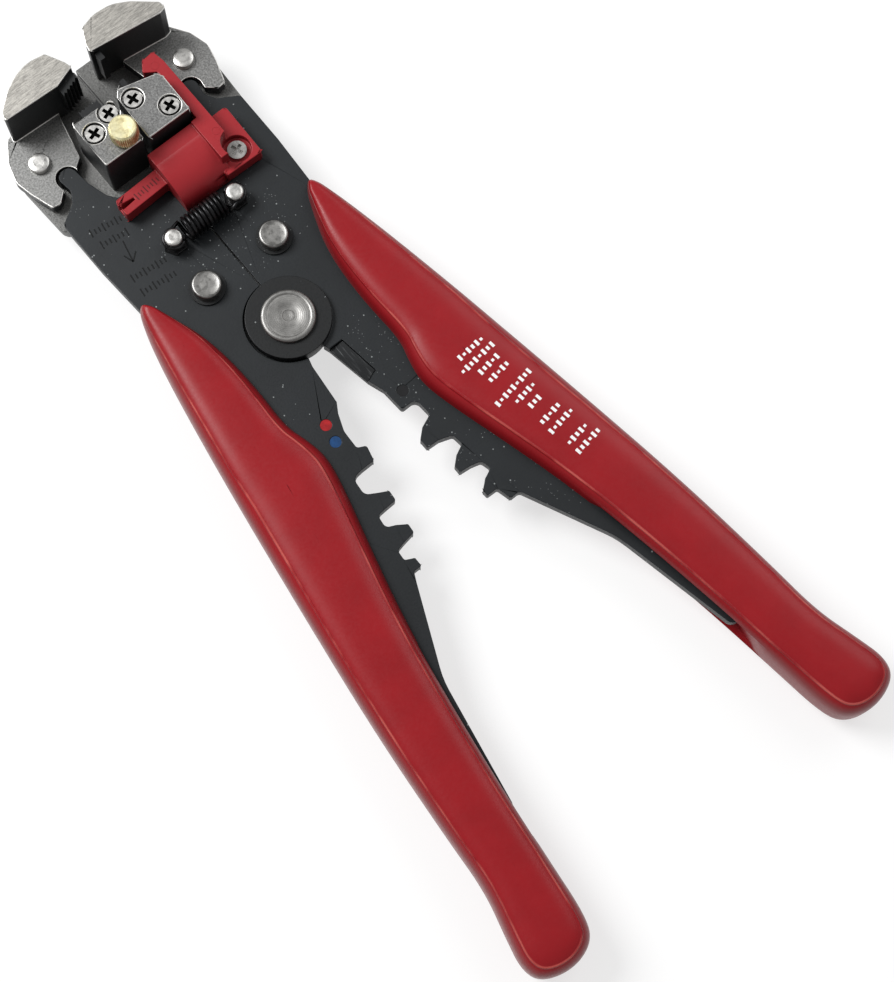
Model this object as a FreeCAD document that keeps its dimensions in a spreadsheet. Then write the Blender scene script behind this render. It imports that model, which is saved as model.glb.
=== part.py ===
import FreeCAD, Part
import math
import os
import Sketcher

# Self-adjusting wire stripper, lying on its back with the handles open.
# Frame: +Z out of the front face, +Y from the main pivot towards the jaws, +X to the right.
# The origin is where the main pivot axis meets the plane the tool rests on.
# "side" is -1 for the left half and +1 for the right half. Millimetres throughout.

os.makedirs("parts", exist_ok=True)
doc = FreeCAD.newDocument("wire_stripper")
V = FreeCAD.Vector

# ---------------------------------------------------------------- driving dimensions
DIMENSIONS = {
    "lever_base": 7.4, "lever_thick": 2.6,
    "arm_base": 4.6, "arm_thick": 2.6,
    "lap_floor": 1.3, "lap_gap": 0.2, "ring_top": 11.2,
    "ear_radius": 8.6, "ring_radius": 8.8, "lap_clear": 0.4,
    "pivot_radius": 3.0, "pivot_head_radius": 5.6, "pivot_head_tall": 1.0,
    "pivot_foot_radius": 4.6, "pivot_washer_radius": 6.0,
    "pivot_washer_thick": 0.8,
    "run_clear": 0.05,
    "rivet_radius": 2.2, "rivet_head_radius": 3.1, "rivet_head_tall": 2.4,
    "rivet_ring_radius": 3.8, "rivet_ring_tall": 0.5, "rivet_foot_radius": 3.8,
    "rivet_foot_tall": 2.4,
    "jaw_pin_radius": 1.9, "jaw_pin_head_radius": 2.25, "jaw_pin_head_tall": 1.1,
    "jaw_pin_foot_radius": 3.2,
    "pad_top": 20.4, "notch_radius": 2.5,
    "grip_thick": 14.0, "channel_top": 11.2, "channel_tall": 7.0,
    "screw_head_radius": 1.87, "screw_bore_radius": 2.3, "screw_bore_deep": 1.1,
    "screw_head_tall": 0.9, "screw_shank_radius": 1.2, "screw_shank_long": 9.0,
    "cross_long": 2.7, "cross_wide": 0.75, "cross_deep": 0.7,
    "knob_radius": 3.0, "knob_tall": 4.0, "knob_stem_radius": 1.5, "knob_stem_long": 3.0,
    "spring_pin_radius": 1.85, "spring_pin_tall": 4.2, "spring_foot_radius": 2.6,
    "spring_foot_tall": 0.8,
    "spring_radius": 2.75, "spring_wire": 0.9, "spring_coil_long": 9.6, "spring_height": 13.1,
    "cutter_deep": 1.1, "dot_radius": 1.2, "dot_deep": 0.6, "dot_fill": 0.45,
    "stop_base": 10.2, "stop_block_tall": 3.2, "stop_saddle_tall": 6.6, "stop_bar_tall": 3.6,
    "stop_arm_base": 11.8, "stop_arm_tall": 5.6, "stop_screw_radius": 1.45,
    "stop_head_radius": 2.0, "stop_shank_long": 6.7, "stop_bore_radius": 3.0,
    "stop_bore_deep": 1.4,
    "clear_above": 10.0, "stop_slot_deep": 2.4, "stop_nut_radius": 2.6, "stop_nut_tall": 2.1,
    "blade_thick": 1.2, "blade_tall": 8.4, "insert_base": 10.6, "tooth_pitch": 0.9,
}

sheet = doc.addObject("Spreadsheet::Sheet", "dims")
for row, (alias, value) in enumerate(DIMENSIONS.items(), start=1):
    sheet.set("A%d" % row, alias)
    sheet.set("B%d" % row, str(value))
    sheet.setAlias("B%d" % row, alias)
doc.recompute()


def dim(alias):
    """The value of one driving dimension."""
    return float(getattr(sheet, alias))


# ---------------------------------------------------------------- places in the tool's plane
PIVOT = (0.0, 0.0)
RIVET = (8.6, 15.5)
JAW_PIN = (18.6, 58.3)
SPRING_PIN = (7.8, 27.0)
FINGER_TIP = (15.9, 52.3)
STOP_SCREW = (14.1, 34.3)
STOP_TRAVEL = 2.4
KNOB = (-3.0, 47.8)
BLOCK_SCREWS = {-1: ((-7.5, 52.1), (-2.6, 53.9)), 1: ((3.1, 53.3), (8.0, 47.5))}
DOTS = {"red_dot": (-8.2, -22.1), "blue_dot": (-8.9, -26.0), "black_dot": (8.2, -26.2)}
DOT_SIDE = {"red_dot": -1, "blue_dot": -1, "black_dot": 1}
SEAM = 0.15
EASED_SHARE = 0.45

HALF = {-1: "left", 1: "right"}
nodes = []


def place(side, point):
    """A point of the right half, carried to the wanted half."""
    return (side * abs(point[0]), point[1])


# ---------------------------------------------------------------- outlines
def rounded(points):
    """Closed outline from corners (x, y) or (x, y, radius): lines joined by corner arcs."""
    count = len(points)
    corners = []
    for index in range(count):
        before = V(points[index - 1][0], points[index - 1][1], 0)
        corner = V(points[index][0], points[index][1], 0)
        after = V(points[(index + 1) % count][0], points[(index + 1) % count][1], 0)
        radius = points[index][2] if len(points[index]) > 2 else 0.0
        if radius <= 0:
            corners.append((corner, None, corner))
            continue
        to_before = (before - corner).normalize()
        to_after = (after - corner).normalize()
        half_angle = to_before.getAngle(to_after) / 2
        reach = radius / math.tan(half_angle)
        first = corner + to_before * reach
        last = corner + to_after * reach
        inward = (to_before + to_after).normalize()
        centre = corner + inward * (radius / math.sin(half_angle))
        middle = centre - inward * radius
        corners.append((first, middle, last))
    shapes = []
    for index in range(count):
        first, middle, last = corners[index]
        if middle is not None:
            shapes.append(Part.Arc(first, middle, last))
        start_of_next = corners[(index + 1) % count][0]
        if last.distanceToPoint(start_of_next) > 1e-6:
            shapes.append(Part.LineSegment(last, start_of_next))
    return shapes


def mirrored(points, side):
    """Outline of the right half turned into the wanted half."""
    return [(side * point[0],) + tuple(point[1:]) for point in points]


def smooth(points):
    """Closed outline near the points, every corner eased by as large an arc as fits."""
    eased = []
    for index, (x, y) in enumerate(points):
        corner = V(x, y, 0)
        to_before = V(*points[index - 1], 0) - corner
        to_after = V(*points[(index + 1) % len(points)], 0) - corner
        reach = EASED_SHARE * min(to_before.Length, to_after.Length)
        radius = reach * math.tan(to_before.getAngle(to_after) / 2)
        eased.append((x, y, radius))
    return rounded(eased)


def circle(centre, radius):
    return [Part.Circle(V(centre[0], centre[1], 0), V(0, 0, 1), radius)]


# ---------------------------------------------------------------- feature helpers
def new_body(label, height=None):
    """An empty body; its base height is bound to a cell of the sheet."""
    body = doc.addObject("PartDesign::Body", label)
    body.Label = label
    if height:
        body.setExpression("Placement.Base.z", height)
    return body


def sketch_on(body, name, shapes, height=None, plane="XY_Plane", radius=None):
    """A sketch of the body holding the shapes, on one of its own origin planes."""
    sketch = body.newObject("Sketcher::SketchObject", body.Label + "_" + name)
    for feature in body.Origin.OriginFeatures:
        if feature.Role == plane:
            sketch.AttachmentSupport = [(feature, "")]
    sketch.MapMode = "FlatFace"
    sketch.addGeometry(shapes, False)
    if height:
        sketch.setExpression("AttachmentOffset.Base.z", height)
    if radius:
        constraint = sketch.addConstraint(Sketcher.Constraint("Radius", 0, shapes[0].Radius))
        sketch.setExpression("Constraints[%d]" % constraint, radius)
    return sketch


def pad(body, name, shapes, length, height=None, radius=None):
    """Adds material upwards from the sketch."""
    doc.recompute()
    before = body.Shape.Volume if body.Tip else 0.0
    feature = body.newObject("PartDesign::Pad", body.Label + "_" + name)
    feature.Profile = sketch_on(body, name + "_sketch", shapes, height, radius=radius)
    feature.setExpression("Length", length)
    doc.recompute()
    if not body.Shape.Volume > before + 1e-4:
        raise RuntimeError(body.Label + " " + name + " adds nothing")
    return feature


def pocket(body, name, shapes, depth, height=None, up=False, radius=None):
    """Cuts downwards from the sketch, or upwards when up is set."""
    doc.recompute()
    before = body.Shape.Volume
    feature = body.newObject("PartDesign::Pocket", body.Label + "_" + name)
    feature.Profile = sketch_on(body, name + "_sketch", shapes, height, radius=radius)
    feature.setExpression("Length", depth)
    feature.Reversed = up
    doc.recompute()
    if not body.Shape.Volume < before - 1e-4:
        raise RuntimeError(body.Label + " " + name + " cuts nothing")
    return feature


def keep(*objects):
    """Marks objects as nodes, one STEP file each."""
    nodes.extend(objects)


def bound_cylinder(name, centre, radius, height, base):
    """A cylinder standing on the height base, sizes bound to the sheet."""
    cylinder = doc.addObject("Part::Cylinder", name)
    cylinder.setExpression("Radius", radius)
    cylinder.setExpression("Height", height)
    cylinder.Placement.Base = V(centre[0], centre[1], 0)
    cylinder.setExpression("Placement.Base.z", base)
    return cylinder


def fused(label, pieces):
    result = doc.addObject("Part::MultiFuse", label)
    result.Label = label
    result.Shapes = pieces
    result.Refine = True
    return result


def cut(label, base, tool):
    result = doc.addObject("Part::Cut", label)
    result.Label = label
    result.Base = base
    result.Tool = tool
    return result


# ---------------------------------------------------------------- lever plates
LEVER_TOP = "dims.lever_base + dims.lever_thick"

HEAD_EDGE = [
    (SEAM, 42.3), (10.6, 42.3, 1.5), (12.1, 44.4), (13.4, 48.8),
    (13.9, 54.3, 1.75), (17.9, 54.3, 1.75), (17.2, 49.6, 1.5), (18.6, 47.2, 1.5),
    (22.9, 44.6, 1.2), (22.8, 32.0), (22.0, 18.0), (26.2, -2.0, 20.0), (30.2, -25.0, 30.0),
    (37.6, -76.0, 40.0), (38.9, -104.0, 2.5),
]

RIGHT_INNER_EDGE = [
    (27.6, -104.0, 2.0), (21.8, -76.2, 20.0), (12.8, -56.9, 1.0), (10.6, -56.9, 0.6),
    (9.8, -53.7, 0.5), (7.3, -53.6, 0.4), (7.3, -52.2, 0.4), (9.2, -50.6, 0.8),
    (11.5, -49.6, 0.8), (10.9, -47.4, 0.8), (8.8, -46.8, 0.4), (6.2, -46.5, 0.4),
    (6.2, -44.8, 0.4), (7.9, -43.3, 0.8), (10.3, -42.2, 0.8), (10.0, -39.7, 0.8),
    (7.2, -38.7, 0.4), (4.4, -38.5, 0.4), (4.4, -36.3, 0.4), (6.3, -34.6, 0.8),
    (9.3, -33.4, 1.0), (9.0, -29.2, 1.4), (5.6, -29.2, 0.6), (5.3, -23.8, 2.0),
    (4.1, -20.3), (2.3, -10.1), (1.6, -8.0),
]

LEFT_INNER_EDGE = [
    (28.0, -104.0, 2.0), (22.8, -76.2, 20.0), (14.6, -58.2, 1.0), (13.6, -56.2, 0.5),
    (11.7, -56.2, 0.4), (11.7, -54.2, 0.4), (13.6, -53.2, 0.6), (13.4, -50.9, 1.0),
    (11.4, -50.5, 0.6), (8.6, -50.1, 0.5), (8.4, -48.1, 0.5), (10.4, -46.7, 1.2),
    (12.3, -45.8, 1.2), (11.9, -43.0, 1.0), (10.2, -42.9, 0.6), (7.2, -42.8, 0.5),
    (7.0, -40.5, 0.5), (9.0, -39.4, 1.2), (11.3, -38.0, 1.6), (10.9, -34.0, 1.6),
    (8.4, -33.8, 0.6), (5.4, -33.8, 0.5), (4.6, -30.5, 0.6), (6.4, -29.6, 0.8),
    (6.2, -25.4, 3.0), (4.8, -21.8, 1.0), (3.5, -19.7), (2.6, -10.9), (1.8, -8.0),
]


def lever_plate(side, inner_edge):
    """One stamped lever: head half with the jaw finger, crimp dies and the tang in the grip."""
    label = HALF[side] + "_lever_plate"
    body = new_body(label, "dims.lever_base")
    outline = HEAD_EDGE + inner_edge + [(SEAM, 0.0)]
    pad(body, "blank", rounded(mirrored(outline, side)), "dims.lever_thick")
    doc.recompute()
    return body


def lap_joint(body, side):
    """Half-lapped pivot ears: the right one is the raised ring, the left one lies under it."""
    if side < 0:
        pad(body, "ear", circle(PIVOT, dim("ear_radius")), "dims.lap_floor",
            radius="dims.ear_radius")
        pocket(body, "recess", circle(PIVOT, dim("ring_radius") + dim("lap_clear")),
               "dims.lever_thick - dims.lap_floor", "dims.lever_thick",
               radius="dims.ring_radius + dims.lap_clear")
        hole = "dims.pivot_radius"
    else:
        pocket(body, "recess", circle(PIVOT, dim("ear_radius") + dim("lap_clear")),
               "dims.lap_floor + dims.lap_gap", up=True,
               radius="dims.ear_radius + dims.lap_clear")
        pad(body, "ring", circle(PIVOT, dim("ring_radius")),
            "dims.ring_top - dims.lever_base - dims.lap_floor - dims.lap_gap",
            "dims.lap_floor + dims.lap_gap", radius="dims.ring_radius")
        hole = "dims.pivot_radius + dims.run_clear"
    radius = dim("pivot_radius") + (dim("run_clear") if side > 0 else 0.0)
    pocket(body, "pivot_hole", circle(PIVOT, radius), "2 * dims.lever_thick",
           "2 * dims.lever_thick", radius=hole)


def drill(body, name, centre, alias):
    """A through hole of the plate, its radius bound to one cell."""
    pocket(body, name, circle(centre, dim(alias)), "2 * dims.lever_thick",
           "2 * dims.lever_thick", radius="dims." + alias)


LEVER_EDGES = {-1: LEFT_INNER_EDGE, 1: RIGHT_INNER_EDGE}
lever = {}
for side in (-1, 1):
    plate = lever_plate(side, LEVER_EDGES[side])
    lap_joint(plate, side)
    drill(plate, "rivet_hole", place(side, RIVET), "rivet_radius")
    drill(plate, "spring_pin_hole", place(side, SPRING_PIN), "screw_shank_radius")
    for dot, centre in DOTS.items():
        if DOT_SIDE[dot] == side:
            pocket(plate, dot + "_dimple", circle(centre, dim("dot_radius")), "dims.dot_deep",
                   "dims.lever_thick", radius="dims.dot_radius")
    lever[side] = plate

slot_half = 1.6
slot_corner = 1.55
slot = [
    (STOP_SCREW[0] - slot_half, STOP_SCREW[1] - slot_half, slot_corner),
    (STOP_SCREW[0] + STOP_TRAVEL + slot_half, STOP_SCREW[1] - slot_half, slot_corner),
    (STOP_SCREW[0] + STOP_TRAVEL + slot_half, STOP_SCREW[1] + slot_half, slot_corner),
    (STOP_SCREW[0] - slot_half, STOP_SCREW[1] + slot_half, slot_corner),
]
pocket(lever[1], "stop_slot", rounded(slot), "2 * dims.lever_thick", "2 * dims.lever_thick")
cutter_recess = [(0.9, -10.1), (5.6, -10.2), (6.8, -19.5), (2.9, -20.6)]
pocket(lever[1], "cutter_recess", rounded(cutter_recess), "dims.cutter_deep",
       "dims.lever_thick")
keep(lever[-1], lever[1])

for dot, centre in DOTS.items():
    body = new_body(dot, LEVER_TOP + " - dims.dot_deep")
    pad(body, "fill", circle(centre, dim("dot_radius")), "dims.dot_fill",
        radius="dims.dot_radius")
    keep(body)


# ---------------------------------------------------------------- carrier arms
ARM_OUTLINE = [
    (0.2, 19.0, 1.0), (0.2, 71.8), (4.2, 71.8, 2.0), (12.0, 70.2, 8.0), (20.0, 65.5, 8.0),
    (24.2, 58.5, 6.0), (23.5, 44.0, 2.5), (11.0, 39.5, 3.0), (10.3, 32.0, 8.0),
    (14.8, 20.0, 4.0), (14.8, 9.3, 6.0), (2.4, 9.3, 6.0),
]

for side in (-1, 1):
    body = new_body(HALF[side] + "_arm", "dims.arm_base")
    pad(body, "blank", rounded(mirrored(ARM_OUTLINE, side)), "dims.arm_thick")
    pocket(body, "rivet_hole", circle(place(side, RIVET), dim("rivet_radius") + dim("run_clear")),
           "2 * dims.arm_thick", "2 * dims.arm_thick",
           radius="dims.rivet_radius + dims.run_clear")
    pocket(body, "jaw_pin_hole", circle(place(side, JAW_PIN), dim("jaw_pin_radius")),
           "2 * dims.arm_thick", "2 * dims.arm_thick", radius="dims.jaw_pin_radius")
    keep(body)


# ---------------------------------------------------------------- outer jaws
JAW_PLATE = [
    (20.4, 67.2, 2.0), (23.6, 62.4, 3.0), (24.8, 58.0, 3.0), (23.9, 54.0, 2.0),
    (22.3, 49.0, 0.7), (20.4, 48.7, 0.6), (18.2, 50.6, 0.5), (18.4, 52.3),
]
JAW_PLATE_INNER = [(13.4, 52.3), (12.9, 53.2, 0.8), (11.2, 54.4, 0.8), (10.3, 58.4, 2.0),
                   (8.6, 66.0)]
PAD_OUTLINE = {
    1: [(2.6, 66.9, 0.4), (2.9, 68.7, 2.0), (4.6, 72.2, 1.5), (8.2, 73.2, 7.0),
        (12.4, 72.8, 7.0), (15.8, 70.9, 7.0), (20.5, 66.9, 0.8), (20.6, 65.2, 0.5),
        (18.9, 64.8, 0.6)],
    -1: [(2.2, 66.6, 0.4), (2.6, 68.2, 2.0), (4.7, 72.3, 1.2), (8.6, 73.0, 7.0),
         (12.2, 72.2, 9.0), (15.8, 70.2, 9.0), (18.9, 67.6, 3.0), (19.9, 65.4, 0.6),
         (7.0, 64.9)],
}


def jaw(side):
    """Rocking jaw: a plate with the driving notch, and the tall pad above it."""
    label = HALF[side] + "_jaw"
    body = new_body(label, "dims.lever_base")
    pad_outline = rounded(mirrored(PAD_OUTLINE[side], side))
    pad(body, "pad", pad_outline, "dims.pad_top - dims.lever_base")
    plate = JAW_PLATE + JAW_PLATE_INNER
    pad(body, "plate", rounded(mirrored(plate, side)), "dims.lever_thick")
    pocket(body, "notch", circle(place(side, FINGER_TIP), dim("notch_radius")),
           "2 * dims.lever_thick", "2 * dims.lever_thick", radius="dims.notch_radius")
    pocket(body, "pin_hole",
           circle(place(side, JAW_PIN), dim("jaw_pin_radius") + dim("run_clear")),
           "2 * dims.lever_thick", "2 * dims.lever_thick",
           radius="dims.jaw_pin_radius + dims.run_clear")
    return body


keep(jaw(-1), jaw(1))


# ---------------------------------------------------------------- jaw blocks on the arms
BLOCK_BASE = "dims.arm_base + dims.arm_thick"
BLOCK_OUTLINE = {
    -1: [(-0.4, 45.0, 0.5), (-9.9, 45.0, 0.5), (-9.9, 56.2, 0.4), (-0.4, 56.0, 0.4)],
    1: [(0.4, 44.4, 0.4), (10.7, 44.4, 0.4), (10.9, 53.6, 0.5), (10.2, 54.7, 0.5),
        (1.9, 56.9, 0.5), (0.7, 55.4, 0.4)],
}


def jaw_block(side):
    """Fixed jaw standing on the arm, with counterbored seats for its screws."""
    body = new_body(HALF[side] + "_block", BLOCK_BASE)
    tall = "dims.pad_top - dims.arm_base - dims.arm_thick"
    pad(body, "blank", rounded(BLOCK_OUTLINE[side]), tall)
    for index, centre in enumerate(BLOCK_SCREWS[side], start=1):
        pocket(body, "seat_%d" % index, circle(centre, dim("screw_bore_radius")),
               "dims.screw_bore_deep", tall, radius="dims.screw_bore_radius")
        pocket(body, "screw_hole_%d" % index, circle(centre, dim("screw_shank_radius")),
               "dims.screw_bore_deep + dims.screw_shank_long", tall,
               radius="dims.screw_shank_radius")
    if side < 0:
        pocket(body, "knob_hole", circle(KNOB, dim("knob_stem_radius") + dim("run_clear")),
               "dims.knob_stem_long + 0.2", tall,
               radius="dims.knob_stem_radius + dims.run_clear")
    return body


CROSS_TURN = 20.0


def cross(centre, long, wide):
    """Outline of a cross recess."""
    a = long / 2
    b = wide / 2
    steps = [(a, b), (b, b), (b, a), (-b, a), (-b, b), (-a, b),
             (-a, -b), (-b, -b), (-b, -a), (b, -a), (b, -b), (a, -b)]
    turn = math.radians(CROSS_TURN)
    return rounded([(centre[0] + x * math.cos(turn) - y * math.sin(turn),
                     centre[1] + x * math.sin(turn) + y * math.cos(turn)) for x, y in steps])


def screw(label, centre, head_top, head, head_tall, shank, shank_long):
    """Cheese-head screw with a cross recess; head_top is where its head ends."""
    body = new_body(label, head_top)
    head_from = "-dims.%s" % head_tall
    pad(body, "head", circle(centre, dim(head)), "dims." + head_tall, head_from,
        radius="dims." + head)
    pad(body, "shank", circle(centre, dim(shank)), "dims." + shank_long,
        "-dims.%s - dims.%s" % (head_tall, shank_long), radius="dims." + shank)
    pocket(body, "cross", cross(centre, dim("cross_long"), dim("cross_wide")),
           "dims.cross_deep")
    return body


for side in (-1, 1):
    keep(jaw_block(side))
    pair = []
    for index, centre in enumerate(BLOCK_SCREWS[side], start=1):
        pair.append(screw("%s_block_screw_%d" % (HALF[side], index), centre,
                          "dims.pad_top - dims.screw_bore_deep + dims.screw_head_tall",
                          "screw_head_radius", "screw_head_tall",
                          "screw_shank_radius", "screw_shank_long"))
    group = doc.addObject("Part::Compound", HALF[side] + "_block_screws")
    group.Label = HALF[side] + "_block_screws"
    group.Links = pair
    keep(group)

# ---------------------------------------------------------------- blades and gripping inserts
BLADE_X = 3.4
INSERT_FROM, INSERT_TO = -7.0, -2.5
TOOTH_DEEP = 0.4


def blade(label, x, y_from, y_to):
    """Thin upright blade whose edge lies across the wire."""
    body = new_body(label, "dims.insert_base")
    thick = dim("blade_thick")
    outline = [(x, y_from), (x + thick, y_from), (x + thick, y_to), (x, y_to)]
    pad(body, "plate", rounded(outline), "dims.blade_tall")
    return body


def serrated_insert(label, x_from, x_to, back, face, slope):
    """Gripping insert: upright teeth along the face that meets the wire."""
    body = new_body(label, "dims.insert_base")
    pitch = dim("tooth_pitch")
    direction = 1.0 if face > back else -1.0
    points = [(x_from, back), (x_to, back + slope * (x_to - x_from))]
    count = int(round((x_to - x_from) / pitch))
    for tooth in range(count):
        right = x_to - tooth * pitch
        level = face + slope * (right - x_from)
        points.append((right, level))
        points.append((right - pitch / 2, level - direction * TOOTH_DEEP))
    points.append((x_from, face))
    pad(body, "teeth", rounded(points), "dims.blade_tall")
    return body


keep(blade("upper_blade", BLADE_X, 64.6, 66.6))
keep(blade("lower_blade", BLADE_X, 56.55, 58.6))
keep(serrated_insert("upper_grip_insert", INSERT_FROM, INSERT_TO, 64.88, 62.9, 0.35))
keep(serrated_insert("lower_grip_insert", INSERT_FROM, INSERT_TO, 56.2, 58.4, 0.0))

# ---------------------------------------------------------------- pins and rivets
pivot_head = bound_cylinder("pivot_head", PIVOT, "dims.pivot_head_radius",
                            "dims.pivot_head_tall", "dims.ring_top")
pivot_shank = bound_cylinder("pivot_shank", PIVOT, "dims.pivot_radius",
                             "dims.ring_top", "0 * dims.ring_top")
pivot_foot = bound_cylinder("pivot_foot", PIVOT, "dims.pivot_foot_radius",
                            "dims.lever_base - dims.pivot_washer_thick", "0 * dims.ring_top")
keep(fused("pivot_rivet", [pivot_head, pivot_shank, pivot_foot]))

washer = new_body("pivot_washer", "dims.lever_base - dims.pivot_washer_thick")
pad(washer, "disc", circle(PIVOT, dim("pivot_washer_radius")), "dims.pivot_washer_thick",
    radius="dims.pivot_washer_radius")
pocket(washer, "bore", circle(PIVOT, dim("pivot_radius")), "2 * dims.pivot_washer_thick",
       "2 * dims.pivot_washer_thick", radius="dims.pivot_radius")
keep(washer)

for side in (-1, 1):
    name = HALF[side]
    centre = place(side, RIVET)
    head = bound_cylinder(name + "_rivet_head", centre, "dims.rivet_head_radius",
                          "dims.rivet_head_tall", LEVER_TOP)
    foot = bound_cylinder(name + "_rivet_foot", centre, "dims.rivet_foot_radius",
                          "dims.rivet_foot_tall - dims.lap_gap",
                          "dims.arm_base - dims.rivet_foot_tall")
    shank = bound_cylinder(name + "_rivet_shank", centre, "dims.rivet_radius",
                           LEVER_TOP + " - dims.arm_base + dims.rivet_foot_tall",
                           "dims.arm_base - dims.rivet_foot_tall")
    keep(fused(name + "_arm_rivet", [head, foot, shank]))
    ring = new_body(name + "_rivet_ring", LEVER_TOP)
    pad(ring, "disc", circle(centre, dim("rivet_ring_radius")), "dims.rivet_ring_tall",
        radius="dims.rivet_ring_radius")
    pocket(ring, "bore", circle(centre, dim("rivet_head_radius")),
           "2 * dims.rivet_ring_tall", "2 * dims.rivet_ring_tall",
           radius="dims.rivet_head_radius")
    keep(ring)

    centre = place(side, JAW_PIN)
    head = bound_cylinder(name + "_jaw_pin_head", centre, "dims.jaw_pin_head_radius",
                          "dims.jaw_pin_head_tall", LEVER_TOP + " + dims.lap_gap / 2")
    foot = bound_cylinder(name + "_jaw_pin_foot", centre, "dims.jaw_pin_foot_radius",
                          "dims.arm_base", "0 * dims.arm_base")
    shank = bound_cylinder(name + "_jaw_pin_shank", centre, "dims.jaw_pin_radius",
                           LEVER_TOP + " + dims.lap_gap / 2", "0 * dims.arm_base")
    keep(fused(name + "_jaw_pin", [head, foot, shank]))

    centre = place(side, SPRING_PIN)
    stem = bound_cylinder(name + "_spring_pin_stem", centre, "dims.screw_shank_radius",
                          "dims.lever_thick", "dims.lever_base")
    post = bound_cylinder(name + "_spring_pin_post", centre, "dims.spring_pin_radius",
                          "dims.spring_pin_tall", LEVER_TOP)
    collar = doc.addObject("Part::Prism", name + "_spring_pin_hexagon")
    collar.Polygon = 6
    collar.setExpression("Circumradius", "dims.spring_foot_radius")
    collar.setExpression("Height", "dims.spring_foot_tall")
    collar.Placement.Base = V(centre[0], centre[1], 0)
    collar.setExpression("Placement.Base.z", LEVER_TOP)
    keep(fused(name + "_spring_pin", [stem, post, collar]))


# ---------------------------------------------------------------- return spring
def hollow_tube(name, radius, wall, long, centre, height):
    """Tube along X, centred on the axis of the tool."""
    outer = doc.addObject("Part::Cylinder", name + "_outer")
    outer.setExpression("Radius", radius)
    outer.setExpression("Height", long)
    inner = doc.addObject("Part::Cylinder", name + "_inner")
    inner.setExpression("Radius", radius + " - " + wall)
    inner.setExpression("Height", long)
    for tube in (outer, inner):
        tube.Placement = FreeCAD.Placement(V(0, centre, 0), FreeCAD.Rotation(V(0, 1, 0), 90))
        tube.setExpression("Placement.Base.x", "-(%s) / 2" % long)
        tube.setExpression("Placement.Base.z", height)
    return cut(name, outer, inner)


keep(hollow_tube("return_spring", "dims.spring_radius", "dims.spring_wire",
                 "dims.spring_coil_long", SPRING_PIN[1], "dims.spring_height"))

# ---------------------------------------------------------------- tension knob
body = new_body("tension_knob", "dims.pad_top + dims.lap_gap / 2")
pad(body, "head", circle(KNOB, dim("knob_radius")), "dims.knob_tall",
    radius="dims.knob_radius")
pad(body, "stem", circle(KNOB, dim("knob_stem_radius")), "dims.knob_stem_long",
    "-dims.knob_stem_long", radius="dims.knob_stem_radius")
keep(body)

# ---------------------------------------------------------------- wire stop
STOP_BLOCK = [(9.0, 30.8), (17.8, 30.6, 0.6), (18.1, 43.2, 0.8), (9.0, 43.2)]
STOP_BAR = [(-1.6, 37.0), (-1.6, 41.0), (-12.2, 40.6, 0.6), (-12.2, 36.6, 0.6)]
STOP_BAR_SLOT = [(-13.0, 38.0), (-8.8, 38.4), (-8.8, 38.9), (-13.0, 39.5)]
STOP_ARM = [(11.1, 33.0), (13.7, 33.0), (13.7, 57.6), (13.2, 60.4, 0.5), (10.2, 60.1, 0.5),
            (8.6, 57.9, 0.5), (11.1, 56.2)]
SADDLE_FROM, SADDLE_TO = -1.6, 10.4
SADDLE_FRONT, SADDLE_BACK = 30.8, 43.2
SADDLE_FLAT, SADDLE_LIP = 3.0, 0.6
ARM_ROOT = [(9.6, 33.0), (13.7, 33.0), (13.7, 43.2), (9.6, 43.2)]


def saddle_profile():
    """Side view of the saddle: flat top, then a round fall to the plate."""
    tall = dim("stop_saddle_tall")
    centre = SADDLE_BACK - SADDLE_FLAT
    run = centre - SADDLE_FRONT
    points = []
    for step in range(9):
        angle = math.radians(90.0 * step / 8)
        points.append((centre - run * math.sin(angle),
                       SADDLE_LIP + (tall - SADDLE_LIP) * math.cos(angle)))
    return points


def wire_stop():
    body = new_body("wire_stop", "dims.stop_base")
    tall = dim("stop_saddle_tall")
    curve = saddle_profile()
    arc = Part.BSplineCurve()
    arc.interpolate([V(y, z, 0) for y, z in curve])
    first = curve[0]
    last = curve[-1]
    ring = [arc,
            Part.LineSegment(V(last[0], last[1], 0), V(SADDLE_FRONT, 0, 0)),
            Part.LineSegment(V(SADDLE_FRONT, 0, 0), V(SADDLE_BACK, 0, 0)),
            Part.LineSegment(V(SADDLE_BACK, 0, 0), V(SADDLE_BACK, tall, 0)),
            Part.LineSegment(V(SADDLE_BACK, tall, 0), V(first[0], first[1], 0))]
    saddle = body.newObject("PartDesign::Pad", "wire_stop_saddle")
    saddle.Profile = sketch_on(body, "saddle_sketch", ring, str(SADDLE_FROM), "YZ_Plane")
    saddle.Length = SADDLE_TO - SADDLE_FROM
    pad(body, "block", rounded(STOP_BLOCK), "dims.stop_block_tall")
    pad(body, "bar", rounded(STOP_BAR), "dims.stop_bar_tall")
    pocket(body, "bar_slot", rounded(STOP_BAR_SLOT), "dims.stop_slot_deep",
           "dims.stop_bar_tall")
    pad(body, "arm_root", rounded(ARM_ROOT),
        "dims.stop_arm_base - dims.stop_base + dims.stop_arm_tall")
    pad(body, "arm", rounded(STOP_ARM), "dims.stop_arm_tall",
        "dims.stop_arm_base - dims.stop_base")
    pocket(body, "screw_bore", circle(STOP_SCREW, dim("stop_bore_radius")),
           "dims.clear_above", "dims.stop_block_tall - dims.stop_bore_deep + dims.clear_above",
           radius="dims.stop_bore_radius")
    pocket(body, "screw_hole", circle(STOP_SCREW, dim("stop_screw_radius")),
           "2 * dims.stop_block_tall", "2 * dims.stop_block_tall",
           radius="dims.stop_screw_radius")
    return body


keep(wire_stop())

keep(screw("stop_screw", STOP_SCREW,
           "dims.stop_base + dims.stop_block_tall - dims.stop_bore_deep"
           " + dims.screw_head_tall",
           "stop_head_radius", "screw_head_tall", "stop_screw_radius", "stop_shank_long"))

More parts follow.
